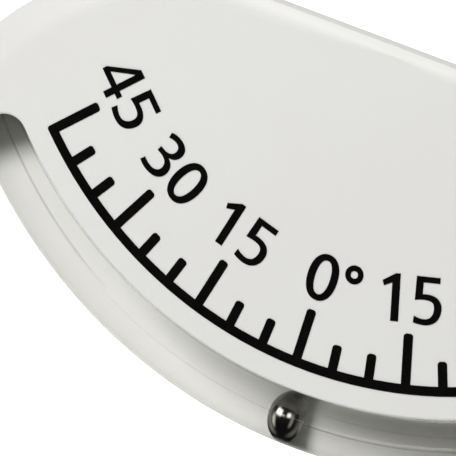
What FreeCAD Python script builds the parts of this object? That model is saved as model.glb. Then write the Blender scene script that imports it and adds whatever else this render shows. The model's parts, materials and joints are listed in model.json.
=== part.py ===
import FreeCAD, Part
import math
import os

os.makedirs("parts", exist_ok=True)

# All lengths are in millimetres and all angles in degrees.
# The front face looks along -Y, +X is to the viewer's right and +Z is up.
# Heights are measured down from the centre of the scale's arc, depths back from the face.

# Printed scale
scale_radius = 56.0          # outer edge of the printed arc
scale_span = 45.0            # reading at each end of the arc
tick_step = 5.0
major_step = 15.0
band_width = 1.2
tick_width = 1.2
tick_end_share = 0.68        # inner corners' radius, as a share of half the tick's width
major_tick_reach = 7.5       # from the arc's outer edge inwards
minor_tick_reach = 4.3
band_corner_radius = 0.35
ink_height = 0.1

# Vial, its ball and its plugs
vial_diameter = 7.0
bore_diameter = 5.4
ball_diameter = 4.76
ball_stop_gap = 0.3          # left between ball and plug at the end of travel
plug_depth = 4.0             # length of plug inside the bore
plug_behind_ear = 0.1        # the plug's face lies just behind the ear's edge
plug_head_diameter = 6.6
plug_head_thickness = 1.1
plug_nose_chamfer = 0.5
plug_clearance = 0.02
fluid_clearance = 0.02
ball_film = 0.05             # fluid film round the ball

# Front cover
edge_margin = 3.0            # from the scale's arc to the face's lower edge
vial_gap = 1.0               # from the face's lower edge to the vial
vial_setback = 1.3           # vial's front behind the face
face_thickness = 2.2
cover_wall = 1.6
cover_height = 44.6          # on the centre line, from the face's lower edge to the top edge
end_wall = 0.93              # cover's wall outside the vial's ends
shoulder_radius = 34.4
face_shoulder_growth = 2.0   # the face's shoulder is this much rounder than the cover's
bevel_top_width = 0.8
bevel_side_width = 3.8
bevel_drop = 1.6
ear_lead = 4.5               # reading from the end of the printed arc to the ear's edge
ear_corner_radius = 3.0
notch_radius = 3.0
crease_radius_top = 0.5
crease_radius_side = 2.3
lower_edge_radius = 0.4
rim_edge_radius = 0.35
rib_thickness = 1.0
rib_height = 1.2
rib_span_shares = (-0.8, -0.267, 0.267, 0.8)  # readings, as shares of the scale's span
rib_clearance = 0.4
boss_weld = 0.1              # bosses start this deep in the face

# Base behind the cover
base_clearance = 0.15        # between the base's rim and the cover's wall
base_wall = 1.4
base_floor = 1.6
trough_floor = 1.2           # base left behind the vial
trough_clearance = 0.1
trough_end_gap = 0.3         # beyond the plug's head
cradle_reach = 2.6           # cradle's outer lip past the vial's axis
rim_gap = 0.4                # base's rim short of the face's back
base_corner_radius = 2.0
base_back_edge_radius = 0.5

# Posts of the base and sockets of the cover
post_diameter = 4.4
pin_diameter = 2.0
pin_length = 1.8
pin_clearance = 0.05
pin_tip_chamfer = 0.3
socket_extra_depth = 0.2
post_wall_gap = 1.6
upper_post_angle = 62.0      # about the shoulder's centre, up from the side
lower_post_angle = 24.0      # about the arc's centre

# Foam pad on the back
pad_width = 74.0
pad_height = 26.0
pad_corner_radius = 3.0
pad_thickness = 1.0
pad_recess = 0.2
pad_margin = 0.3
pad_inset = 9.1              # from the cover's top edge down to the pad

overrun = 5.0                # cutting tools run past what they cut
pick_reach = 0.02            # an edge this near to a spot is the one meant
merge_reach = 0.0001         # surfaces this near to each other count as one

# Worked out from the sizes above
vial_r = vial_diameter / 2
bore_r = bore_diameter / 2
ball_r = ball_diameter / 2
face_edge_radius = scale_radius + edge_margin
vial_radius = face_edge_radius + vial_gap + vial_r
vial_depth = vial_setback + vial_r
cover_depth = vial_depth
top_drop = face_edge_radius - cover_height
face_shoulder_radius = shoulder_radius + face_shoulder_growth
ear_angle = scale_span + ear_lead
pad_drop = top_drop + pad_inset + pad_height / 2
base_depth = vial_depth + vial_r + trough_clearance + trough_floor
total_depth = base_depth + pad_thickness - pad_recess
cradle_radius = vial_radius + cradle_reach
shoulder_z = -top_drop - shoulder_radius
face_top = -top_drop - bevel_top_width
face_shoulder_z = face_top - face_shoulder_radius
inner_wall_radius = face_edge_radius - cover_wall
rim_depth = face_thickness + rim_gap


def along_vial(length):
    """Angle that a length along the vial's axis takes."""
    return math.degrees(length / vial_radius)


plug_angle = ear_angle + along_vial(plug_behind_ear)
vial_end_angle = plug_angle + along_vial(plug_depth)
head_end_angle = vial_end_angle + along_vial(plug_head_thickness)
trough_end_angle = head_end_angle + along_vial(trough_end_gap)
ball_limit = plug_angle - along_vial(ball_r + ball_stop_gap)


def place(x, z, depth=0):
    """Point of the part from its place beside the arc's centre and its depth."""
    return FreeCAD.Vector(x, depth - total_depth, z + pad_drop)


def polar(radius, angle):
    """Place at a radius and a reading about the arc's centre."""
    turn = math.radians(angle)
    return radius * math.sin(turn), -radius * math.cos(turn)


# The shoulder's arc passes outside the trough's end, with the wall between them
trough_end_x, trough_end_z = polar(vial_radius + vial_r + trough_clearance, trough_end_angle)
shoulder_x = trough_end_x - math.sqrt((shoulder_radius - end_wall) ** 2 - (trough_end_z - shoulder_z) ** 2)
half_width = shoulder_x + shoulder_radius
face_shoulder_x = half_width - bevel_side_width - face_shoulder_radius


def middle_of_arc(centre, start, end):
    """Middle of the short arc from start to end about a centre."""
    radius = math.dist(centre, start)
    across = (start[0] + end[0] - 2 * centre[0], start[1] + end[1] - 2 * centre[1])
    size = math.hypot(across[0], across[1])
    return centre[0] + radius * across[0] / size, centre[1] + radius * across[1] / size


def outline_wire(pieces, depth):
    """Closed wire from (start, end) lines and (start, end, centre) arcs."""
    edges = []
    for start, end, *centre in pieces:
        first = place(start[0], start[1], depth)
        last = place(end[0], end[1], depth)
        if centre:
            mid = middle_of_arc(centre[0], start, end)
            curve = Part.Arc(first, place(mid[0], mid[1], depth), last)
        else:
            curve = Part.LineSegment(first, last)
        edges.append(curve.toShape())
    return Part.Wire(edges)


def prism(pieces, front, back):
    """Solid of an outline from one depth to another."""
    face = Part.Face(outline_wire(pieces, front))
    return face.extrude(FreeCAD.Vector(0, back - front, 0))


def mirrored(pieces):
    """The outline's other half, in reverse order."""
    flip = lambda point: (-point[0], point[1])
    return [tuple([flip(p[1]), flip(p[0])] + [flip(c) for c in p[2:]]) for p in reversed(pieces)]


def swept(radius, start, end):
    """Round bar along the vial's axis between two readings."""
    x, z = polar(vial_radius, end)
    tangent = FreeCAD.Vector(math.cos(math.radians(end)), 0, math.sin(math.radians(end)))
    disc = Part.Face(Part.Wire(Part.Circle(place(x, z, vial_depth), tangent, radius).toShape()))
    return disc.revolve(place(0, 0, vial_depth), FreeCAD.Vector(0, 1, 0), end - start)


def upright(x, z, radius, front, back):
    """Round post or hole square to the face."""
    return Part.makeCylinder(radius, back - front, place(x, z, front), FreeCAD.Vector(0, 1, 0))


def save(shape, node):
    """Write one node to its own file."""
    solids = shape.Solids
    kept = solids[0] if len(solids) == 1 else Part.makeCompound(solids)
    kept.exportStep("parts/" + node + ".step")
    print(node, len(solids), "solid", round(kept.Volume, 3), "valid", kept.isValid())


# Outlines, each as its left half and that half mirrored

def cover_outline_half():
    """Left half of the cover: top, shoulder, ear corner, ear edge, notch and lower arc."""
    shoulder = (-shoulder_x, shoulder_z)
    turn = math.radians(ear_angle)
    inward = (-math.sin(turn), -math.cos(turn))
    away = (-math.cos(turn), math.sin(turn))
    across = away[0] * shoulder[0] + away[1] * shoulder[1]
    along = inward[0] * shoulder[0] + inward[1] * shoulder[1]
    reach = shoulder_radius - ear_corner_radius
    ear_reach = along + math.sqrt(reach ** 2 - (ear_corner_radius - across) ** 2)
    ear_start = (inward[0] * ear_reach, inward[1] * ear_reach)
    corner = (ear_start[0] + away[0] * ear_corner_radius, ear_start[1] + away[1] * ear_corner_radius)
    stretch = shoulder_radius / reach
    shoulder_end = (
        shoulder[0] + (corner[0] - shoulder[0]) * stretch,
        shoulder[1] + (corner[1] - shoulder[1]) * stretch,
    )
    notch_centre_radius = face_edge_radius + notch_radius
    notch_lean = math.degrees(math.asin(notch_radius / notch_centre_radius))
    notch = polar(notch_centre_radius, notch_lean - ear_angle)
    notch_start = polar(math.sqrt(notch_centre_radius ** 2 - notch_radius ** 2), -ear_angle)
    notch_end = polar(face_edge_radius, notch_lean - ear_angle)
    top_middle = (0, -top_drop)
    top_end = (-shoulder_x, -top_drop)
    return [
        (top_middle, top_end),
        (top_end, shoulder_end, shoulder),
        (shoulder_end, ear_start, corner),
        (ear_start, notch_start),
        (notch_start, notch_end, notch),
        (notch_end, (0, -face_edge_radius), (0, 0)),
    ]


def cap_corner(inset, lower_radius):
    """Where an inset shoulder meets an arc about the arc's centre, on the left."""
    reach = shoulder_radius - inset
    distance = math.hypot(shoulder_x, shoulder_z)
    bearing = math.degrees(math.atan2(shoulder_x, -shoulder_z))
    cosine = (lower_radius ** 2 + distance ** 2 - reach ** 2) / (2 * lower_radius * distance)
    return polar(lower_radius, -bearing - math.degrees(math.acos(cosine)))


def cap_outline(inset, lower_radius):
    """Outline set in from the cover's top and shoulders, closed by a lower arc."""
    top = -top_drop - inset
    corner = cap_corner(inset, lower_radius)
    half = [
        ((0, top), (-shoulder_x, top)),
        ((-shoulder_x, top), corner, (-shoulder_x, shoulder_z)),
        (corner, (0, -lower_radius), (0, 0)),
    ]
    return half + mirrored(half)


def cap(inset, lower_radius, front, back, corner_radius):
    """Solid of a cap outline with its two lower corners rounded."""
    solid = prism(cap_outline(inset, lower_radius), front, back)
    x, z = cap_corner(inset, lower_radius)
    middle = (front + back) / 2
    spots = [place(x, z, middle), place(-x, z, middle)]
    near = lambda edge: min(edge.CenterOfMass.distanceToPoint(spot) for spot in spots)
    corners = [edge for edge in solid.Edges if near(edge) < pick_reach]
    return solid.makeFillet(corner_radius, corners)


# Front cover

def bevel_profile_half(top, radius, centre_x, centre_z):
    """Left half of one end of the bevel, run down past the cover."""
    side = -centre_x - radius
    foot = -vial_radius - overrun
    return [
        ((0, top), (-centre_x, top)),
        ((-centre_x, top), (side, centre_z), (-centre_x, centre_z)),
        ((side, centre_z), (side, foot)),
        ((side, foot), (0, foot)),
        ((0, foot), (0, top)),
    ]


def edges_through(solid, spot):
    """Edges that pass through a spot."""
    mark = Part.Vertex(spot)
    return [edge for edge in solid.Edges if edge.distToShape(mark)[0] < pick_reach]


def beveled_block_half():
    """Left half of the block whose front has the bevel, which widens down the shoulder."""
    front = bevel_profile_half(face_top, face_shoulder_radius, face_shoulder_x, face_shoulder_z)
    back = bevel_profile_half(-top_drop, shoulder_radius, shoulder_x, shoulder_z)
    slope = Part.makeLoft([outline_wire(front, 0), outline_wire(back, bevel_drop)], True, True)
    block = slope.fuse(prism(back, bevel_drop, cover_depth + overrun))
    crease = edges_through(block, place(-face_shoulder_x / 2, face_top))
    block = block.makeFillet(crease_radius_top, crease_radius_side, crease)
    rim = edges_through(block, place(-shoulder_x / 2, -top_drop, bevel_drop))
    return block.makeFillet(rim_edge_radius, rim)


def cover_shell():
    """Outside of the cover, with its bevel, ears and softened lower edge."""
    half = cover_outline_half()
    closing = [((0, -face_edge_radius), (0, -top_drop))]
    blank = prism(half + closing, 0, cover_depth)
    x, z = polar(face_edge_radius, -ear_angle / 2)
    blank = blank.makeFillet(lower_edge_radius, edges_through(blank, place(x, z)))
    left = blank.common([beveled_block_half()], merge_reach)
    right = left.mirror(place(0, 0), FreeCAD.Vector(1, 0, 0))
    return left.fuse(right).removeSplitter()


def post_places():
    """Places of the four posts: two under the shoulders, two above the lower wall."""
    upper_reach = shoulder_radius - cover_wall - post_wall_gap - post_diameter / 2
    turn = math.radians(upper_post_angle)
    upper_x = shoulder_x + upper_reach * math.cos(turn)
    upper_z = shoulder_z + upper_reach * math.sin(turn)
    lower_x, lower_z = polar(inner_wall_radius - post_wall_gap - post_diameter / 2, lower_post_angle)
    return [(side * x, z) for x, z in ((upper_x, upper_z), (lower_x, lower_z)) for side in (-1, 1)]


def ribs(room):
    """Ribs behind the face, along readings of the scale, kept within the room for them."""
    found = None
    for angle in (share * scale_span for share in rib_span_shares):
        bar = Part.makeBox(rib_thickness, rib_height, face_edge_radius)
        bar.translate(FreeCAD.Vector(-rib_thickness / 2, 0, -face_edge_radius))
        bar.rotate(FreeCAD.Vector(0, 0, 0), FreeCAD.Vector(0, -1, 0), angle)
        bar.translate(place(0, 0, face_thickness))
        bar = bar.common(room)
        found = bar if found is None else found.fuse(bar)
    return found


def make_front_cover():
    """White moulded cover with the face, its ears over the vial's ends, ribs and sockets."""
    cover = cover_shell()
    back = cover_depth + overrun
    cover = cover.cut(cap(cover_wall, inner_wall_radius, face_thickness, back, base_corner_radius))
    cover = cover.cut(swept(vial_r + trough_clearance, -trough_end_angle, trough_end_angle))
    room_inset = cover_wall + base_clearance + base_wall + rib_clearance
    room_radius = inner_wall_radius - base_clearance - base_wall - rib_clearance
    room = cap(room_inset, room_radius, face_thickness, cover_depth, base_corner_radius)
    cover = cover.fuse(ribs(room))
    for x, z in post_places():
        cover = cover.fuse(upright(x, z, post_diameter / 2, face_thickness - boss_weld, cover_depth))
    for x, z in post_places():
        depth = cover_depth - pin_length - socket_extra_depth
        cover = cover.cut(upright(x, z, pin_diameter / 2 + pin_clearance, depth, back))
    return cover


# Base

def make_base():
    """White tray behind the cover, whose rim nests inside it and whose cradle backs the vial."""
    inset = cover_wall + base_clearance
    base = cap(inset, cradle_radius, vial_depth, base_depth, base_corner_radius)
    back_face = edges_through(base, place(0, -top_drop - inset, base_depth))
    base = base.makeFillet(base_back_edge_radius, back_face)
    rim_radius = inner_wall_radius - base_clearance
    rim = cap(inset, rim_radius, rim_depth, vial_depth + base_wall, base_corner_radius - base_clearance)
    base = base.fuse(rim)
    hollow_radius = rim_radius - base_wall
    hollow_corner = base_corner_radius / 2
    hollow = cap(inset + base_wall, hollow_radius, rim_depth - overrun, base_depth - base_floor, hollow_corner)
    base = base.cut(hollow)
    base = base.cut(swept(vial_r + trough_clearance, -trough_end_angle, trough_end_angle))
    for x, z in post_places():
        base = base.fuse(post_with_pin(x, z))
    return base.cut(pad_block(pad_margin, base_depth - pad_recess, base_depth + overrun))


def post_with_pin(x, z):
    """Post from the base's floor to the cover's socket, with its tapered pin."""
    post = upright(x, z, post_diameter / 2, cover_depth, base_depth - base_floor / 2)
    pin = upright(x, z, pin_diameter / 2, cover_depth - pin_length, cover_depth + post_diameter / 2)
    tip = edges_through(pin, place(x + pin_diameter / 2, z, cover_depth - pin_length))
    return post.fuse(pin.makeChamfer(pin_tip_chamfer, tip))


# Foam pad

def pad_block(margin, front, back):
    """Rounded oblong of the pad, grown by a margin, between two depths."""
    width = pad_width + 2 * margin
    height = pad_height + 2 * margin
    block = Part.makeBox(width, back - front, height, place(-width / 2, -pad_drop - height / 2, front))
    corners = [edge for edge in block.Edges if edge.BoundBox.YLength > (back - front) / 2]
    return block.makeFillet(pad_corner_radius + margin, corners)


def make_pad():
    """Self-adhesive foam pad, seated in its shallow recess and standing proud of the base."""
    return pad_block(0, base_depth - pad_recess, total_depth)


# Vial

def make_vial_tube():
    """Clear tube bent to the scale's centre, open at its ends for the plugs."""
    bore_end_angle = vial_end_angle + along_vial(overrun)
    outside = swept(vial_r, -vial_end_angle, vial_end_angle)
    return outside.cut(swept(bore_r, -bore_end_angle, bore_end_angle))


def make_plug(side):
    """Stopper with a shank in the bore and a head on the tube's end; side is -1 or 1."""
    shank = swept(bore_r - plug_clearance, plug_angle, vial_end_angle + along_vial(plug_clearance))
    x, z = polar(vial_radius + bore_r - plug_clearance, plug_angle)
    nose = edges_through(shank, place(x, z, vial_depth))
    shank = shank.makeChamfer(plug_nose_chamfer, nose)
    head = swept(plug_head_diameter / 2, vial_end_angle, head_end_angle)
    plug = shank.fuse(head)
    if side < 0:
        plug = plug.mirror(place(0, 0), FreeCAD.Vector(1, 0, 0))
    return plug


def make_ball():
    """Ball at the zero reading."""
    return Part.makeSphere(ball_r, place(0, -vial_radius, vial_depth))


def make_fluid():
    """Damping fluid that fills the bore between the plugs, with the ball's place left out."""
    end = plug_angle - along_vial(plug_clearance)
    fluid = swept(bore_r - fluid_clearance, -end, end)
    return fluid.cut(Part.makeSphere(ball_r + ball_film, place(0, -vial_radius, vial_depth)))


# Printed scale

def tick(reach, outer_radius):
    """Tick at the zero reading, with soft corners at its inner end."""
    half = tick_width / 2
    inner = reach - scale_radius
    outer = -outer_radius
    pieces = [
        ((half, outer), (half, inner)),
        ((half, inner), (-half, inner)),
        ((-half, inner), (-half, outer)),
        ((-half, outer), (half, outer)),
    ]
    bar = prism(pieces, -ink_height, 0)
    spots = [place(side * half, inner, -ink_height / 2) for side in (-1, 1)]
    corners = [edge for spot in spots for edge in edges_through(bar, spot)]
    return bar.makeFillet(tick_end_share * half, corners)


def make_scale_print():
    """Arc and ticks as one film of ink on the face."""
    inner_radius = scale_radius - band_width
    band = [
        (polar(scale_radius, -scale_span), polar(scale_radius, scale_span), (0, 0)),
        (polar(scale_radius, scale_span), polar(inner_radius, scale_span)),
        (polar(inner_radius, scale_span), polar(inner_radius, -scale_span), (0, 0)),
        (polar(inner_radius, -scale_span), polar(scale_radius, -scale_span)),
    ]
    ink = prism(band, -ink_height, 0)
    ticks_per_major = round(major_step / tick_step)
    count = ticks_per_major * round(scale_span / major_step)
    for step in range(-count, count + 1):
        angle = scale_span * step / count
        last = abs(step) == count
        reach = minor_tick_reach if step % ticks_per_major else major_tick_reach
        outer_radius = scale_radius if last else scale_radius - band_width / 2
        mark = tick(reach, outer_radius)
        if last:
            side = math.copysign(tick_width / 2, angle)
            corner = edges_through(mark, place(side, -outer_radius, -ink_height / 2))
            mark = mark.makeFillet(band_corner_radius, corner)
        mark.rotate(place(0, 0), FreeCAD.Vector(0, -1, 0), angle)
        ink = ink.fuse(mark)
    return ink.removeSplitter()


save(make_front_cover(), "front_cover")
save(make_base(), "base_tray")
save(make_vial_tube(), "vial_tube")
save(make_plug(-1), "vial_plug_left")
save(make_plug(1), "vial_plug_right")
save(make_fluid(), "damping_fluid")
save(make_ball(), "ball")
save(make_scale_print(), "scale_print")
save(make_pad(), "foam_pad")
print("ball travel each way, degrees", round(ball_limit, 3))
print("arc centre above the pad's centre", pad_drop, "depth of the vial's axis", vial_depth - total_depth)
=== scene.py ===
import json
import math

import bmesh
import bpy
from mathutils import Matrix, Vector


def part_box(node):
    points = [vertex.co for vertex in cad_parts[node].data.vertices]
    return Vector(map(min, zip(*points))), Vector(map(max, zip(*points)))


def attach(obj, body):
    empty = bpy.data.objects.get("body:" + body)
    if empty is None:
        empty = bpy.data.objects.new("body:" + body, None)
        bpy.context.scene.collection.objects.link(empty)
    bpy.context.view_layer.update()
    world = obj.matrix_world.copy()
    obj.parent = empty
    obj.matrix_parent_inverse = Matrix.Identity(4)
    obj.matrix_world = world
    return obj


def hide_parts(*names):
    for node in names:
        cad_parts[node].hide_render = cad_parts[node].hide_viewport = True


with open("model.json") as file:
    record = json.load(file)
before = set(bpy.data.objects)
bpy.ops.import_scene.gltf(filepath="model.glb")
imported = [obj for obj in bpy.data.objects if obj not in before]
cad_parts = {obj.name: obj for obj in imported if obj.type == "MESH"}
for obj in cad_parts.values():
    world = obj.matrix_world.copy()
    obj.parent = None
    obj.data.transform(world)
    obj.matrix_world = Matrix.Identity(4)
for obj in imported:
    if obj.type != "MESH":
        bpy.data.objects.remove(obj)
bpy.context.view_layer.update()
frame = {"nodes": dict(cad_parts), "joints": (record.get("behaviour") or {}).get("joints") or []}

mm = 0.001
scene = bpy.context.scene

# The arc's centre and the vial's axis come from the ball's joint, the face and the ink from their nodes
joint = frame["joints"][0]
arcCentre = Vector((joint["pos_m"][0], 0, joint["pos_m"][2]))
arcAxis = (0, -1, 0)           # readings grow towards +X
vialDepth = joint["pos_m"][1]
ballLow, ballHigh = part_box("ball")
vialRadius = arcCentre.z - (ballLow.z + ballHigh.z) / 2
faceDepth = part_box("front_cover")[0].y
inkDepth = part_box("scale_print")[0].y


def toReading(angle):
    # turns what is drawn at the zero reading to another one, in degrees
    turn = Matrix.Rotation(math.radians(angle), 4, arcAxis)
    return Matrix.Translation(arcCentre) @ turn @ Matrix.Translation(-arcCentre)


def meshFrom(bm, name):
    bmesh.ops.recalc_face_normals(bm, faces=bm.faces)
    mesh = bpy.data.meshes.new(name)
    bm.to_mesh(mesh)
    bm.free()
    return mesh


def addPiece(name, mesh, materials, replaced=()):
    piece = bpy.data.objects.new(name, mesh)
    scene.collection.objects.link(piece)
    for material in materials:
        mesh.materials.append(material)
    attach(piece, "housing")
    if replaced:
        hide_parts(*replaced)
    return piece


# Shader groups shared by several finishes

def newGroup(name, inputs, outputs):
    group = bpy.data.node_groups.new(name, "ShaderNodeTree")
    for socketName, kind, value in inputs:
        socket = group.interface.new_socket(socketName, in_out="INPUT", socket_type=kind)
        if value is not None:
            socket.default_value = value
    for socketName, kind in outputs:
        group.interface.new_socket(socketName, in_out="OUTPUT", socket_type=kind)
    return group, group.nodes.new("NodeGroupInput"), group.nodes.new("NodeGroupOutput")


def isSocket(value):
    return hasattr(value, "is_linked")


def feed(tree, value, socket):
    # links a socket's output, or sets a plain value
    if isSocket(value):
        tree.links.new(value, socket)
    else:
        socket.default_value = value


def addNoise(tree, vector, scale, detail=3.0):
    noise = tree.nodes.new("ShaderNodeTexNoise")
    noise.inputs["Detail"].default_value = detail
    tree.links.new(vector, noise.inputs["Vector"])
    feed(tree, scale, noise.inputs["Scale"])
    return noise.outputs["Fac"]


def addRange(tree, value, low, high, fromLow=0.3, fromHigh=0.7):
    # spreads a value over a range; noise mostly lies from 0.3 to 0.7
    spread = tree.nodes.new("ShaderNodeMapRange")
    spread.inputs["From Min"].default_value = fromLow
    spread.inputs["From Max"].default_value = fromHigh
    tree.links.new(value, spread.inputs["Value"])
    feed(tree, low, spread.inputs["To Min"])
    feed(tree, high, spread.inputs["To Max"])
    return spread.outputs["Result"]


def joinValues(tree, operation, first, second=0.0):
    join = tree.nodes.new("ShaderNodeMath")
    join.operation = operation
    for socket, value in zip(join.inputs, (first, second)):
        feed(tree, value, socket)
    return join.outputs["Value"]


def mixValues(tree, factor, first, second):
    mix = tree.nodes.new("ShaderNodeMix")
    tree.links.new(factor, mix.inputs["Factor"])
    feed(tree, first, mix.inputs["A"])
    feed(tree, second, mix.inputs["B"])
    return mix.outputs["Result"]


def buildMouldedGrain():
    # satin grain of a mould's face, with slow drifts of tone and gloss where the plastic flowed
    group, entry, leave = newGroup(
        "mouldedGrain",
        (
            ("Vector", "NodeSocketVector", None),
            ("Grain Scale", "NodeSocketFloat", 5200.0),
            ("Flow Scale", "NodeSocketFloat", 45.0),
            ("Gloss Low", "NodeSocketFloat", 0.36),
            ("Gloss High", "NodeSocketFloat", 0.48),
        ),
        (("Drift", "NodeSocketFloat"), ("Roughness", "NodeSocketFloat"), ("Height", "NodeSocketFloat")),
    )
    grain = addNoise(group, entry.outputs["Vector"], entry.outputs["Grain Scale"], detail=4.0)
    flow = addNoise(group, entry.outputs["Vector"], entry.outputs["Flow Scale"], detail=2.0)
    drift = addRange(group, flow, 0.0, 1.0)
    gloss = addRange(group, grain, entry.outputs["Gloss Low"], entry.outputs["Gloss High"])
    group.links.new(drift, leave.inputs["Drift"])
    group.links.new(gloss, leave.inputs["Roughness"])
    group.links.new(grain, leave.inputs["Height"])
    return group


def buildAlongArc():
    # bends Object coordinates straight along the vial: X along the arc, Y the depth, Z the radius
    group, entry, leave = newGroup(
        "alongArc",
        (("Vector", "NodeSocketVector", None), ("Centre", "NodeSocketVector", tuple(arcCentre))),
        (("Vector", "NodeSocketVector"),),
    )
    nodes, links = group.nodes, group.links
    offset = nodes.new("ShaderNodeVectorMath")
    offset.operation = "SUBTRACT"
    links.new(entry.outputs["Vector"], offset.inputs[0])
    links.new(entry.outputs["Centre"], offset.inputs[1])
    parts = nodes.new("ShaderNodeSeparateXYZ")
    links.new(offset.outputs["Vector"], parts.inputs["Vector"])
    flat = nodes.new("ShaderNodeCombineXYZ")
    links.new(parts.outputs["X"], flat.inputs["X"])
    links.new(parts.outputs["Z"], flat.inputs["Z"])
    reach = nodes.new("ShaderNodeVectorMath")
    reach.operation = "LENGTH"
    links.new(flat.outputs["Vector"], reach.inputs[0])
    down = joinValues(group, "MULTIPLY", parts.outputs["Z"], -1.0)
    reading = joinValues(group, "ARCTAN2", parts.outputs["X"], down)
    straight = nodes.new("ShaderNodeCombineXYZ")
    links.new(joinValues(group, "MULTIPLY", reading, vialRadius), straight.inputs["X"])
    links.new(parts.outputs["Y"], straight.inputs["Y"])
    links.new(reach.outputs["Value"], straight.inputs["Z"])
    links.new(straight.outputs["Vector"], leave.inputs["Vector"])
    return group


def buildTintLineAlongVial():
    # a fine line along the vial, the mask for the bore's painted shade and its other dark lines: 1 on the
    # line, 0 beside it; angles in degrees
    group, entry, leave = newGroup(
        "tintLineAlongVial",
        (
            ("Vector", "NodeSocketVector", None),
            ("Angle", "NodeSocketFloat", 0.0),       # round the vial's axis from the front, outwards
            ("Drift", "NodeSocketFloat", 0.0),       # turn round the axis for each degree along the arc
            ("Half Width", "NodeSocketFloat", 1.0),
            ("Start", "NodeSocketFloat", -50.0),
            ("End", "NodeSocketFloat", 50.0),
            ("Fade", "NodeSocketFloat", 4.0),
        ),
        (("Line", "NodeSocketFloat"),),
    )
    parts = group.nodes.new("ShaderNodeSeparateXYZ")
    group.links.new(entry.outputs["Vector"], parts.inputs["Vector"])
    reading = joinValues(group, "DEGREES", joinValues(group, "DIVIDE", parts.outputs["X"], vialRadius))
    outwards = joinValues(group, "SUBTRACT", parts.outputs["Z"], vialRadius)
    towardsFront = joinValues(group, "SUBTRACT", vialDepth, parts.outputs["Y"])
    around = joinValues(group, "DEGREES", joinValues(group, "ARCTAN2", outwards, towardsFront))
    drift = joinValues(group, "MULTIPLY", reading, entry.outputs["Drift"])
    middle = joinValues(group, "ADD", entry.outputs["Angle"], drift)
    beside = joinValues(group, "ABSOLUTE", joinValues(group, "SUBTRACT", around, middle))
    share = joinValues(group, "DIVIDE", beside, entry.outputs["Half Width"])
    line = addRange(group, share, 1.0, 0.0, fromLow=0.0, fromHigh=1.0)
    afterStart = joinValues(group, "SUBTRACT", reading, entry.outputs["Start"])
    beforeEnd = joinValues(group, "SUBTRACT", entry.outputs["End"], reading)
    room = joinValues(group, "MINIMUM", afterStart, beforeEnd)
    faded = joinValues(group, "DIVIDE", room, entry.outputs["Fade"])
    shown = addRange(group, faded, 0.0, 1.0, fromLow=0.0, fromHigh=1.0)
    group.links.new(joinValues(group, "MULTIPLY", line, shown), leave.inputs["Line"])
    return group


mouldedGrain = buildMouldedGrain()
alongArc = buildAlongArc()
tintLineAlongVial = buildTintLineAlongVial()


# Finishes

def newFinish(name):
    material = bpy.data.materials.new(name)
    material.use_nodes = True
    tree = material.node_tree
    place = tree.nodes.new("ShaderNodeTexCoord").outputs["Object"]
    return material, tree, tree.nodes["Principled BSDF"], place


def useGroup(tree, group, values, vector):
    node = tree.nodes.new("ShaderNodeGroup")
    node.node_tree = group
    for socketName, value in values.items():
        node.inputs[socketName].default_value = value
    tree.links.new(vector, node.inputs["Vector"])
    return node


def mixColours(tree, factor, first, second):
    mix = tree.nodes.new("ShaderNodeMix")
    mix.data_type = "RGBA"
    for socketName, value in (("A", first), ("B", second)):
        feed(tree, value if isSocket(value) else (*value, 1), mix.inputs[socketName])
    tree.links.new(factor, mix.inputs["Factor"])
    return mix.outputs["Result"]


def addBump(tree, shader, height, depth, strength):
    bump = tree.nodes.new("ShaderNodeBump")
    bump.inputs["Distance"].default_value = depth
    bump.inputs["Strength"].default_value = strength
    tree.links.new(height, bump.inputs["Height"])
    tree.links.new(bump.outputs["Normal"], shader.inputs["Normal"])


def buildMouldedPlastic(name, values):
    material, tree, shader, place = newFinish(name)
    grain = useGroup(tree, mouldedGrain, values["grain"], place)
    colour = mixColours(tree, grain.outputs["Drift"], values["tone"], values["driftTone"])
    tree.links.new(colour, shader.inputs["Base Color"])
    tree.links.new(grain.outputs["Roughness"], shader.inputs["Roughness"])
    shader.inputs["IOR"].default_value = values["ior"]
    addBump(tree, shader, grain.outputs["Height"], values["grainDepth"], values["grainStrength"])
    return material


coverLook = {
    "tone": (0.67, 0.67, 0.643),
    "driftTone": (0.665, 0.657, 0.642),
    "grain": {"Grain Scale": 5200.0, "Flow Scale": 45.0, "Gloss Low": 0.38, "Gloss High": 0.5},
    "grainDepth": 0.01 * mm,
    "grainStrength": 0.35,
    "ior": 1.5,
}
baseLook = {
    "tone": (0.9, 0.89, 0.85),
    "driftTone": (0.89, 0.88, 0.84),
    "grain": {"Grain Scale": 3400.0, "Flow Scale": 60.0, "Gloss Low": 0.42, "Gloss High": 0.6},
    "grainDepth": 0.02 * mm,
    "grainStrength": 0.4,
    "ior": 1.5,
}
plugLook = {
    "tone": (0.018, 0.018, 0.019),
    "driftTone": (0.03, 0.03, 0.03),
    "grain": {"Grain Scale": 4200.0, "Flow Scale": 300.0, "Gloss Low": 0.5, "Gloss High": 0.72},
    "grainDepth": 0.02 * mm,
    "grainStrength": 0.5,
    "ior": 1.52,
}


def buildInk(look):
    # screen-printed ink: near black, a little uneven where the mesh laid it
    material, tree, shader, place = newFinish("printedInk")
    weave = addNoise(tree, place, look["weaveScale"], detail=2.0)
    patches = addNoise(tree, place, look["patchScale"])
    colour = mixColours(tree, addRange(tree, patches, 0.0, 1.0), look["tone"], look["thinTone"])
    tree.links.new(colour, shader.inputs["Base Color"])
    tree.links.new(addRange(tree, weave, *look["gloss"]), shader.inputs["Roughness"])
    shader.inputs["IOR"].default_value = look["ior"]
    addBump(tree, shader, weave, look["filmDepth"], look["filmStrength"])
    return material


inkLook = {
    "tone": (0.0015, 0.0013, 0.0012),
    "thinTone": (0.003, 0.0027, 0.0025),
    "weaveScale": 4500.0,
    "patchScale": 700.0,
    "gloss": (0.5, 0.68),
    "ior": 1.2,
    "filmDepth": 0.006 * mm,
    "filmStrength": 0.4,
}


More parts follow.
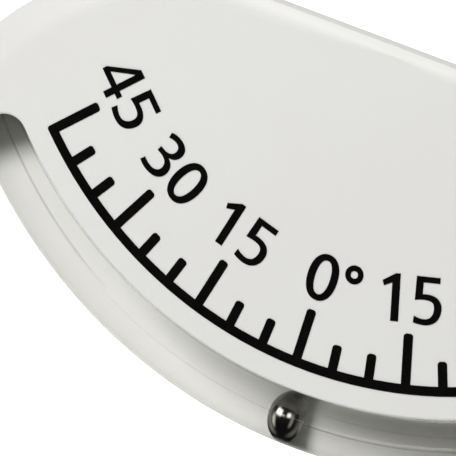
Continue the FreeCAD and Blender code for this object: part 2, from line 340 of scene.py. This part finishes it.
def buildGlass(name, look):
    # clear tube or oil: the faintest streaks run along the arc, over them the look's lines
    material, tree, shader, place = newFinish(name)
    along = useGroup(tree, alongArc, {}, place)
    stretch = tree.nodes.new("ShaderNodeMapping")
    stretch.inputs["Scale"].default_value = look["streakScale"]
    tree.links.new(along.outputs["Vector"], stretch.inputs["Vector"])
    streaks = addNoise(tree, stretch.outputs["Vector"], scale=1.0, detail=2.0)
    tree.links.new(addRange(tree, streaks, *look["gloss"]), shader.inputs["Roughness"])
    colour = mixColours(tree, streaks, look["tone"], look["streakTone"])
    for values, strength in look["lines"]:
        line = useGroup(tree, tintLineAlongVial, values, along.outputs["Vector"]).outputs["Line"]
        uneven = addRange(tree, streaks, strength * look["lineLeast"], strength)
        colour = mixColours(tree, joinValues(tree, "MULTIPLY", line, uneven), colour, look["lineTone"])
    tree.links.new(colour, shader.inputs["Base Color"])
    shader.inputs["Transmission Weight"].default_value = 1.0
    shader.inputs["IOR"].default_value = look["ior"]
    return material


tubeLook = {
    "tone": (1.0, 1.0, 1.0),
    "streakTone": (0.985, 0.99, 0.985),
    "streakScale": (40.0, 900.0, 900.0),
    "gloss": (0.0, 0.02),
    "ior": 1.435,
    "lines": (),
}
# Faint dark lines tinted into the bore, each with its strength: the first is painted shade along the
# cover's edge, the others are dark lines along the tube. Where a line is faintest, lineLeast of its
# strength is left.
boreLook = dict(tubeLook, ior=1.0, lineTone=(0.02, 0.02, 0.018), lineLeast=0.5, lines=(
    # painted shade: the dark line where the cover's edge shades the tube
    ({"Angle": -86.9, "Drift": -0.35, "Half Width": 4.0, "Start": -50.0, "End": 0.0, "Fade": 4.0}, 0.55),
    ({"Angle": 160.5, "Half Width": 2.2, "Start": -52.0, "End": -26.0, "Fade": 6.0}, 0.65),
    ({"Angle": -8.4, "Drift": 0.14, "Half Width": 2.3, "Start": 2.0, "End": 52.0, "Fade": 2.0}, 0.95),
    ({"Angle": -10.4, "Drift": 0.13, "Half Width": 1.6, "Start": -27.0, "End": 3.0, "Fade": 5.0}, 0.4),
    ({"Angle": -180.4, "Drift": 0.29, "Half Width": 2.4, "Start": 2.5, "End": 40.0, "Fade": 4.0}, 0.4),
))
fluidLook = {
    "tone": (0.985, 0.992, 0.975),
    "streakTone": (0.98, 0.988, 0.972),
    "streakScale": (120.0, 120.0, 120.0),
    "gloss": (0.0, 0.004),
    "ior": 1.0,
    "lines": (),
}


def buildSteel(look):
    # burnished dark steel: fine lapping marks in all directions over faint clouding
    material, tree, shader, place = newFinish("burnishedSteel")
    marks = tree.nodes.new("ShaderNodeTexVoronoi")
    marks.feature = "DISTANCE_TO_EDGE"
    marks.inputs["Scale"].default_value = look["markScale"]
    tree.links.new(place, marks.inputs["Vector"])
    clouds = addNoise(tree, place, look["cloudScale"], detail=4.0)
    colour = mixColours(tree, addRange(tree, clouds, 0.0, 1.0), look["tone"], look["cloudTone"])
    tree.links.new(colour, shader.inputs["Base Color"])
    tree.links.new(addRange(tree, clouds, *look["gloss"]), shader.inputs["Roughness"])
    shader.inputs["Metallic"].default_value = 1.0
    addBump(tree, shader, marks.outputs["Distance"], look["markDepth"], look["markStrength"])
    return material


steelLook = {
    "tone": (0.11, 0.107, 0.098),
    "cloudTone": (0.145, 0.14, 0.128),
    "markScale": 2600.0,
    "cloudScale": 900.0,
    "gloss": (0.08, 0.16),
    "markDepth": 0.002 * mm,
    "markStrength": 0.15,
}


def buildFoam(look):
    # closed-cell foam: small cells open at the cut edges, a smooth adhesive film on the back
    material, tree, shader, place = newFinish("adhesiveFoam")
    cells = tree.nodes.new("ShaderNodeTexVoronoi")
    cells.inputs["Scale"].default_value = look["cellScale"]
    tree.links.new(place, cells.inputs["Vector"])
    tone = addNoise(tree, place, look["toneScale"])
    colour = mixColours(tree, cells.outputs["Distance"], look["tone"], look["cellTone"])
    tree.links.new(colour, shader.inputs["Base Color"])
    tree.links.new(addRange(tree, tone, *look["gloss"]), shader.inputs["Roughness"])
    addBump(tree, shader, cells.outputs["Distance"], look["cellDepth"], look["cellStrength"])
    return material


foamLook = {
    "tone": (0.78, 0.78, 0.74),
    "cellTone": (0.62, 0.62, 0.58),
    "cellScale": 3200.0,
    "toneScale": 250.0,
    "gloss": (0.55, 0.8),
    "cellDepth": 0.08 * mm,
    "cellStrength": 0.6,
}

coverPlastic = buildMouldedPlastic("coverPlastic", coverLook)
basePlastic = buildMouldedPlastic("basePlastic", baseLook)
plugRubber = buildMouldedPlastic("plugRubber", plugLook)
printedInk = buildInk(inkLook)
tubeGlass = buildGlass("clearTube", tubeLook)
boreGlass = buildGlass("clearBore", boreLook)
fluidGlass = buildGlass("dampingOil", fluidLook)
burnishedSteel = buildSteel(steelLook)
adhesiveFoam = buildFoam(foamLook)

nodeFinishes = {
    "front_cover": coverPlastic,
    "base_tray": basePlastic,
    "vial_plug_left": plugRubber,
    "vial_plug_right": plugRubber,
    "ball": burnishedSteel,
    "scale_print": printedInk,
    "foam_pad": adhesiveFoam,
}
for nodeName, finish in nodeFinishes.items():
    frame["nodes"][nodeName].material_slots[0].material = finish
print("finishes made")


# Clear vial and the oil in it

vialShape = {
    "outside": 7.0 * mm,       # diameters
    "bore": 5.4 * mm,
    "fluid": 5.36 * mm,
    "sides": 72,
    "steps": 150,
}


def ringAt(bm, diameter, angle):
    # a ring square to the vial's axis at a reading
    upright = Matrix.Rotation(math.radians(90), 4, "Y")
    axisPoint = Matrix.Translation((arcCentre.x, vialDepth, arcCentre.z - vialRadius))
    ring = bmesh.ops.create_circle(
        bm, segments=vialShape["sides"], radius=diameter / 2, matrix=toReading(angle) @ axisPoint @ upright
    )
    return list(dict.fromkeys(edge for vert in ring["verts"] for edge in vert.link_edges))


def sweepRing(bm, diameter, end):
    # the ring swept along the arc; returns its first and last edges
    first = ringAt(bm, diameter, -end)
    swept = bmesh.ops.spin(
        bm, geom=first, cent=arcCentre, axis=arcAxis, angle=math.radians(2 * end),
        steps=vialShape["steps"], use_merge=False, use_duplicate=False,
    )
    last = [item for item in swept["geom_last"] if isinstance(item, bmesh.types.BMEdge)]
    return first, last


def endReading(node, radius):
    # reading of a bent bar's end, from how far its node reaches along X
    return math.degrees(math.asin(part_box(node)[1].x / (vialRadius + radius)))


def makeTube():
    end = endReading("vial_tube", vialShape["outside"] / 2)
    bm = bmesh.new()
    outerFirst, outerLast = sweepRing(bm, vialShape["outside"], end)
    outside = set(bm.faces)
    boreFirst, boreLast = sweepRing(bm, vialShape["bore"], end)
    for face in bm.faces:
        face.smooth = True
        face.material_index = 0 if face in outside else 1
    bmesh.ops.bridge_loops(bm, edges=outerFirst + boreFirst)
    bmesh.ops.bridge_loops(bm, edges=outerLast + boreLast)
    mesh = meshFrom(bm, "clearTube")
    return addPiece("clear_tube", mesh, [tubeGlass, boreGlass], ["vial_tube"])


def makeFluid():
    end = endReading("damping_fluid", vialShape["fluid"] / 2)
    bm = bmesh.new()
    first, last = sweepRing(bm, vialShape["fluid"], end)
    for face in bm.faces:
        face.smooth = True
    for loop in (first, last):
        bmesh.ops.contextual_create(bm, geom=loop)
    return addPiece("clear_oil", meshFrom(bm, "clearOil"), [fluidGlass], ["damping_fluid"])


for clearPiece in (makeTube(), makeFluid()):
    clearPiece.visible_shadow = False       # light reaches the ball and the cradle through them
    clearPiece.visible_glossy = False       # the ball mirrors what lies outside them
print("vial made")


# Numerals, drawn in millimetres: x from the digit's left side, y up from the line they stand on

numerals = {
    "baseline": 47.15,         # from the arc's centre
    "roundness": 12,           # steps in each curve
    "mergeReach": 0.001 * mm,
    "placed": {
        "45": ((-4.0, "4"), (0.87, "5")),
        "30": ((-4.13, "3"), (0.17, "0")),
        "15": ((-3.7, "1"), (0.45, "5")),
        "0": ((-1.98, "0"), (2.58, "degree")),
    },
    "readings": {-45: "45", -30: "30", -15: "15", 0: "0", 15: "15", 30: "30", 45: "45"},
}


trueRound = 0.5523             # a handle's share of the radius in a circle's quarter


def oval(halfWidth, halfHeight, middle, fullness):
    # closed curve of four steps; more fullness than trueRound makes it squarer
    x, y = middle
    acrossPull, upPull = halfWidth * fullness, halfHeight * fullness
    return [
        (x - halfWidth, y + upPull, x - acrossPull, y + halfHeight, x, y + halfHeight),
        (x + acrossPull, y + halfHeight, x + halfWidth, y + upPull, x + halfWidth, y),
        (x + halfWidth, y - upPull, x + acrossPull, y - halfHeight, x, y - halfHeight),
        (x - acrossPull, y - halfHeight, x - halfWidth, y - upPull, x - halfWidth, y),
    ]


# A pair is where a straight side ends; six values are a curve's two handles and its end
digitOutlines = {
    "0": [oval(1.98, 2.97, (1.98, 2.93), 0.62), oval(1.0, 2.2, (1.98, 2.93), 0.62)],
    "1": [[(2.25, 5.92), (2.25, 0), (1.25, 0), (1.25, 4.75), (0.2, 4.28), (0, 4.92), (1.65, 5.92)]],
    "3": [[
        (0.3, 5.55),
        (0.7, 5.8, 1.15, 5.9, 1.62, 5.9),
        (2.7, 5.9, 3.38, 5.4, 3.38, 4.55),
        (3.38, 3.8, 2.95, 3.3, 2.3, 3.1),
        (3.1, 2.98, 3.62, 2.4, 3.62, 1.6),
        (3.62, 0.55, 2.8, -0.1, 1.48, -0.1),
        (0.95, -0.1, 0.45, 0, 0, 0.18),
        (0.2, 0.87),
        (0.6, 0.7, 1.0, 0.62, 1.42, 0.62),
        (2.2, 0.62, 2.66, 1.0, 2.66, 1.62),
        (2.66, 2.35, 2.1, 2.72, 1.2, 2.72),
        (0.63, 2.72),
        (0.63, 3.36),
        (1.2, 3.36),
        (2.0, 3.36, 2.45, 3.8, 2.45, 4.4),
        (2.45, 4.9, 2.1, 5.17, 1.5, 5.17),
        (1.15, 5.17, 0.8, 5.05, 0.5, 4.87),
    ]],
    "4": [
        [(2.42, 5.8), (3.5, 5.8), (3.5, 2.0), (4.25, 2.0), (4.25, 1.25), (3.5, 1.25), (3.5, 0), (2.62, 0),
         (2.62, 1.25), (0, 1.25), (0, 1.88)],
        [(2.62, 4.9), (2.62, 2.0), (0.78, 2.0)],
    ],
    "5": [[
        (0.2, 5.87),
        (3.2, 5.87),
        (3.2, 5.15),
        (1.08, 5.15),
        (1.05, 3.68),
        (2.55, 3.85, 3.55, 3.2, 3.55, 2.1),
        (3.55, 0.75, 2.75, -0.1, 1.45, -0.1),
        (1.0, -0.1, 0.45, -0.03, 0, 0.12),
        (0.08, 0.95),
        (0.5, 0.75, 0.95, 0.62, 1.35, 0.62),
        (2.2, 0.62, 2.6, 1.2, 2.6, 2.05),
        (2.6, 2.85, 2.1, 3.02, 1.2, 3.02),
        (0.8, 3.02, 0.45, 2.95, 0.1, 2.9),
    ]],
    "degree": [oval(1.17, 1.17, (1.17, 4.68), trueRound), oval(0.48, 0.48, (1.17, 4.68), trueRound)],
}


def drawOutline(curve, outline, shift):
    spline = curve.splines.new("BEZIER")
    spline.bezier_points.add(len(outline) - 1)
    spline.use_cyclic_u = True
    for index, step in enumerate(outline):
        following = outline[(index + 1) % len(outline)]
        point = spline.bezier_points[index]
        point.co = (step[-2] + shift, step[-1], 0)
        point.handle_left_type = "FREE" if len(step) > 2 else "VECTOR"
        point.handle_right_type = "FREE" if len(following) > 2 else "VECTOR"
        if len(step) > 2:
            point.handle_left = (step[2] + shift, step[3], 0)
        if len(following) > 2:
            point.handle_right = (following[0] + shift, following[1], 0)


def makeNumerals():
    filmHalf = (faceDepth - inkDepth) / 2
    standing = Matrix.Rotation(math.radians(90), 4, "X")
    foot = Matrix.Translation((arcCentre.x, faceDepth - filmHalf, arcCentre.z - numerals["baseline"] * mm))
    joined = bmesh.new()
    for reading, number in numerals["readings"].items():
        curve = bpy.data.curves.new("number", "CURVE")
        curve.dimensions = "2D"
        curve.fill_mode = "BOTH"
        curve.resolution_u = numerals["roundness"]
        curve.extrude = filmHalf / mm
        for shift, digit in numerals["placed"][number]:
            for outline in digitOutlines[digit]:
                drawOutline(curve, outline, shift)
        holder = bpy.data.objects.new("number", curve)
        mesh = bpy.data.meshes.new_from_object(holder)
        mesh.transform(toReading(reading) @ foot @ standing @ Matrix.Scale(mm, 4))
        joined.from_mesh(mesh)
        bpy.data.objects.remove(holder)
        bpy.data.meshes.remove(mesh)
        bpy.data.curves.remove(curve)
    bmesh.ops.remove_doubles(joined, verts=joined.verts, dist=numerals["mergeReach"])
    return addPiece("scale_numerals", meshFrom(joined, "scaleNumerals"), [printedInk])


makeNumerals()
print("numerals made")


# Floor, light and camera

studio = {
    "floorDrop": 0.16,         # below the pad's centre
    "floorSize": 8.0,
    "floorCells": 8,
    "floorTone": (0.9, 0.9, 0.9),
    "floorGloss": (0.7, 0.85),
    "paperScale": 30.0,
    "surround": 1.05,          # brightness that the camera sees, also through the clear pieces
    "fill": (0.06, 0.22),      # light on matt surfaces, from straight below and straight above
    "fillTone": (1.0, 0.98, 0.92),
    "cradleFill": 3.1,         # times the fill, for what lies behind the clear pieces
    "floorGlow": 0.08,         # the floor's own light on matt surfaces
    "sheen": (0.03, 0.35),     # what reflections see, from below and from above
    "sheenHeights": (-0.5, 0.7),            # of a ray, 1 is straight up
    "ballSheen": 0.03,         # what the ball mirrors beside the soft boxes
    "edgeGlow": (0.1, 0.5),    # the tube mirrors the white behind it: how far back it begins and is full
    "surfacesBeforeBall": 3,   # clear ones: the tube's outside, its bore, the oil
    "lights": {                # area lights: power, width and height, where they shine from, tone
        "key": (4.15, (0.25, 0.17), (-0.3, -0.82, 0.52), (0.98, 0.985, 1.0)),
        "top": (2.6, (0.3, 0.2), (0.0, 0.15, 0.98), (1.0, 1.0, 0.99)),
    },
    "lightDistance": 0.7,
}

# Soft boxes seen in the ball, and two seen along the tube. Bearings are in degrees, round from the front
# to +X and up. Each has its middle, half width and height, the edge's softness, turn and level.
ballBoxes = (
    ((-42, 15), (19, 13), 6, 0, 12.0),
    ((26, 17), (12, 9), 6, 0, 9.0),
    ((-14, 9), (14, 4), 4, 0, 4.0),
    ((-66, -24), (8, 20), 10, 0, 5.0),
    ((52, -6), (6, 28), 9, 0, 1.9),
    ((-105, -30), (22, 30), 14, 0, 1.0),
    ((115, -30), (20, 30), 14, 0, 0.6),
)
tubeBoxes = (
    ((-21.9, 8.5), (3.0, 6.5), 1.2, 33, 3.8),
    ((-70, 57), (7, 19), 4, 47, 3.0),
)


def buildSoftBox():
    group, entry, leave = newGroup(
        "softBox",
        (
            ("Bearing", "NodeSocketVector", None),
            ("Middle", "NodeSocketVector", None),
            ("Half Size", "NodeSocketVector", None),
            ("Edge", "NodeSocketFloat", 5.0),
            ("Turn", "NodeSocketFloat", 0.0),
            ("Level", "NodeSocketFloat", 1.0),
        ),
        (("Level", "NodeSocketFloat"),),
    )
    offset = group.nodes.new("ShaderNodeVectorMath")
    offset.operation = "SUBTRACT"
    group.links.new(entry.outputs["Bearing"], offset.inputs[0])
    group.links.new(entry.outputs["Middle"], offset.inputs[1])
    turned = group.nodes.new("ShaderNodeVectorRotate")
    turned.rotation_type = "Z_AXIS"
    group.links.new(offset.outputs["Vector"], turned.inputs["Vector"])
    group.links.new(joinValues(group, "RADIANS", entry.outputs["Turn"]), turned.inputs["Angle"])
    reach = group.nodes.new("ShaderNodeSeparateXYZ")
    group.links.new(turned.outputs["Vector"], reach.inputs["Vector"])
    half = group.nodes.new("ShaderNodeSeparateXYZ")
    group.links.new(entry.outputs["Half Size"], half.inputs["Vector"])
    level = entry.outputs["Level"]
    for axis in ("X", "Y"):
        beside = joinValues(group, "ABSOLUTE", reach.outputs[axis])
        inside = joinValues(group, "SUBTRACT", half.outputs[axis], beside)
        share = joinValues(group, "DIVIDE", inside, entry.outputs["Edge"])
        inBox = addRange(group, share, 0.0, 1.0, fromLow=-1.0, fromHigh=1.0)
        level = joinValues(group, "MULTIPLY", level, inBox)
    group.links.new(level, leave.inputs["Level"])
    return group


softBox = buildSoftBox()


def addBoxes(tree, bearing, boxes, level):
    # the boxes' light on top of a level
    for middle, halfSize, edge, turn, strength in boxes:
        box = tree.nodes.new("ShaderNodeGroup")
        box.node_tree = softBox
        tree.links.new(bearing, box.inputs["Bearing"])
        box.inputs["Middle"].default_value = (*middle, 0)
        box.inputs["Half Size"].default_value = (*halfSize, 0)
        box.inputs["Edge"].default_value = edge
        box.inputs["Turn"].default_value = turn
        box.inputs["Level"].default_value = strength
        level = joinValues(tree, "ADD", level, box.outputs["Level"])
    return level


halfBounce = 0.5               # between no bounce and one


def straightLook(tree, path):
    # 1 where the camera sees something directly or only through the clear pieces
    bounces = joinValues(tree, "ADD", path.outputs["Diffuse Depth"], path.outputs["Glossy Depth"])
    looks = joinValues(tree, "MAXIMUM", path.outputs["Is Camera Ray"], path.outputs["Is Transmission Ray"])
    return joinValues(tree, "MULTIPLY", joinValues(tree, "LESS_THAN", bounces, halfBounce), looks)


def makeFloor():
    material, tree, shader, place = newFinish("floorPaper")
    paper = addNoise(tree, place, studio["paperScale"], detail=4.0)
    tree.links.new(addRange(tree, paper, *studio["floorGloss"]), shader.inputs["Roughness"])
    shader.inputs["Base Color"].default_value = (*studio["floorTone"], 1)
    shader.inputs["Emission Color"].default_value = (1, 1, 1, 1)
    path = tree.nodes.new("ShaderNodeLightPath")
    glow = mixValues(tree, straightLook(tree, path), studio["floorGlow"], studio["surround"])
    tree.links.new(glow, shader.inputs["Emission Strength"])
    bm = bmesh.new()
    bmesh.ops.create_grid(
        bm, x_segments=studio["floorCells"], y_segments=studio["floorCells"], size=studio["floorSize"] / 2,
        matrix=Matrix.Translation((0, 0, -studio["floorDrop"])),
    )
    mesh = meshFrom(bm, "floor")
    mesh.materials.append(material)
    floor = bpy.data.objects.new("floor", mesh)
    scene.collection.objects.link(floor)
    floor.visible_glossy = False


def makeSurround():
    world = bpy.data.worlds.new("surround")
    scene.world = world
    world.use_nodes = True
    tree = world.node_tree
    path = tree.nodes.new("ShaderNodeLightPath")
    towards = tree.nodes.new("ShaderNodeSeparateXYZ")
    tree.links.new(tree.nodes.new("ShaderNodeTexCoord").outputs["Generated"], towards.inputs["Vector"])
    front = joinValues(tree, "MULTIPLY", towards.outputs["Y"], -1.0)
    around = joinValues(tree, "DEGREES", joinValues(tree, "ARCTAN2", towards.outputs["X"], front))
    rise = joinValues(tree, "DEGREES", joinValues(tree, "ARCSINE", towards.outputs["Z"]))
    bearing = tree.nodes.new("ShaderNodeCombineXYZ")
    tree.links.new(around, bearing.inputs["X"])
    tree.links.new(rise, bearing.inputs["Y"])

    # what the ball and the tube mirror
    sheen = addRange(tree, towards.outputs["Z"], *studio["sheen"], *studio["sheenHeights"])
    away = addRange(tree, towards.outputs["Y"], 0.0, studio["surround"], *studio["edgeGlow"])
    lower = joinValues(tree, "LESS_THAN", towards.outputs["Z"], 0.0)
    whiteBehind = joinValues(tree, "ADD", sheen, joinValues(tree, "MULTIPLY", away, lower))
    onBall = addBoxes(tree, bearing.outputs["Vector"], ballBoxes, studio["ballSheen"])
    onTube = addBoxes(tree, bearing.outputs["Vector"], tubeBoxes, whiteBehind)
    passed = path.outputs["Transmission Depth"]
    fromTube = joinValues(tree, "LESS_THAN", passed, halfBounce)
    fromBall = joinValues(tree, "COMPARE", passed, studio["surfacesBeforeBall"])
    unscattered = joinValues(tree, "LESS_THAN", path.outputs["Diffuse Depth"], halfBounce)
    sheen = mixValues(tree, joinValues(tree, "MULTIPLY", unscattered, fromTube), sheen, onTube)
    sheen = mixValues(tree, joinValues(tree, "MULTIPLY", unscattered, fromBall), sheen, onBall)

    # what lights the matt surfaces, and more of it in the cradle
    fill = addRange(tree, towards.outputs["Z"], *studio["fill"], fromLow=-1.0, fromHigh=1.0)
    scattered = joinValues(tree, "GREATER_THAN", path.outputs["Diffuse Depth"], halfBounce)
    inCradle = joinValues(tree, "MULTIPLY", scattered, path.outputs["Is Transmission Ray"])
    level = mixValues(tree, inCradle, fill, joinValues(tree, "MULTIPLY", fill, studio["cradleFill"]))

    mirrored = joinValues(tree, "GREATER_THAN", path.outputs["Glossy Depth"], halfBounce)
    level = mixValues(tree, mirrored, level, sheen)
    level = mixValues(tree, straightLook(tree, path), level, studio["surround"])
    tree.links.new(level, tree.nodes["Background"].inputs["Strength"])
    tree.nodes["Background"].inputs["Color"].default_value = (*studio["fillTone"], 1)


def makeLights():
    for name, (power, size, shineFrom, tone) in studio["lights"].items():
        light = bpy.data.lights.new(name, "AREA")
        light.shape = "RECTANGLE"
        light.size, light.size_y = size
        light.energy = power
        light.color = tone
        lamp = bpy.data.objects.new(name, light)
        direction = Vector(shineFrom).normalized()
        lamp.location = direction * studio["lightDistance"]
        lamp.rotation_euler = direction.to_track_quat("Z", "Y").to_euler()
        lamp.visible_transmission = False
        lamp.visible_glossy = False
        scene.collection.objects.link(lamp)


cameraPlace = {
    "azimuth": 17.056,
    "elevation": 12.629,
    "roll": 17.571,
    "aim": (-13.498 * mm, -6.287 * mm),   # the point of the face at the picture's middle
    "distance": 555.67 * mm,
    "lens": 355.26,
    "nearest": 10 * mm,
}


def makeCamera():
    turn, rise = math.radians(cameraPlace["azimuth"]), math.radians(cameraPlace["elevation"])
    back = Vector((math.sin(turn) * math.cos(rise), -math.cos(turn) * math.cos(rise), math.sin(rise)))
    aim = Vector((cameraPlace["aim"][0], faceDepth, cameraPlace["aim"][1]))
    data = bpy.data.cameras.new("camera")
    data.lens = cameraPlace["lens"]
    data.clip_start = cameraPlace["nearest"]
    camera = bpy.data.objects.new("camera", data)
    level = back.to_track_quat("Z", "Y").to_matrix().to_4x4()
    roll = Matrix.Rotation(math.radians(cameraPlace["roll"]), 4, "Z")
    camera.matrix_world = Matrix.Translation(aim + back * cameraPlace["distance"]) @ level @ roll
    scene.collection.objects.link(camera)
    scene.camera = camera


makeFloor()
makeSurround()
makeLights()
makeCamera()
scene.view_settings.view_transform = "Standard"
print("studio made")
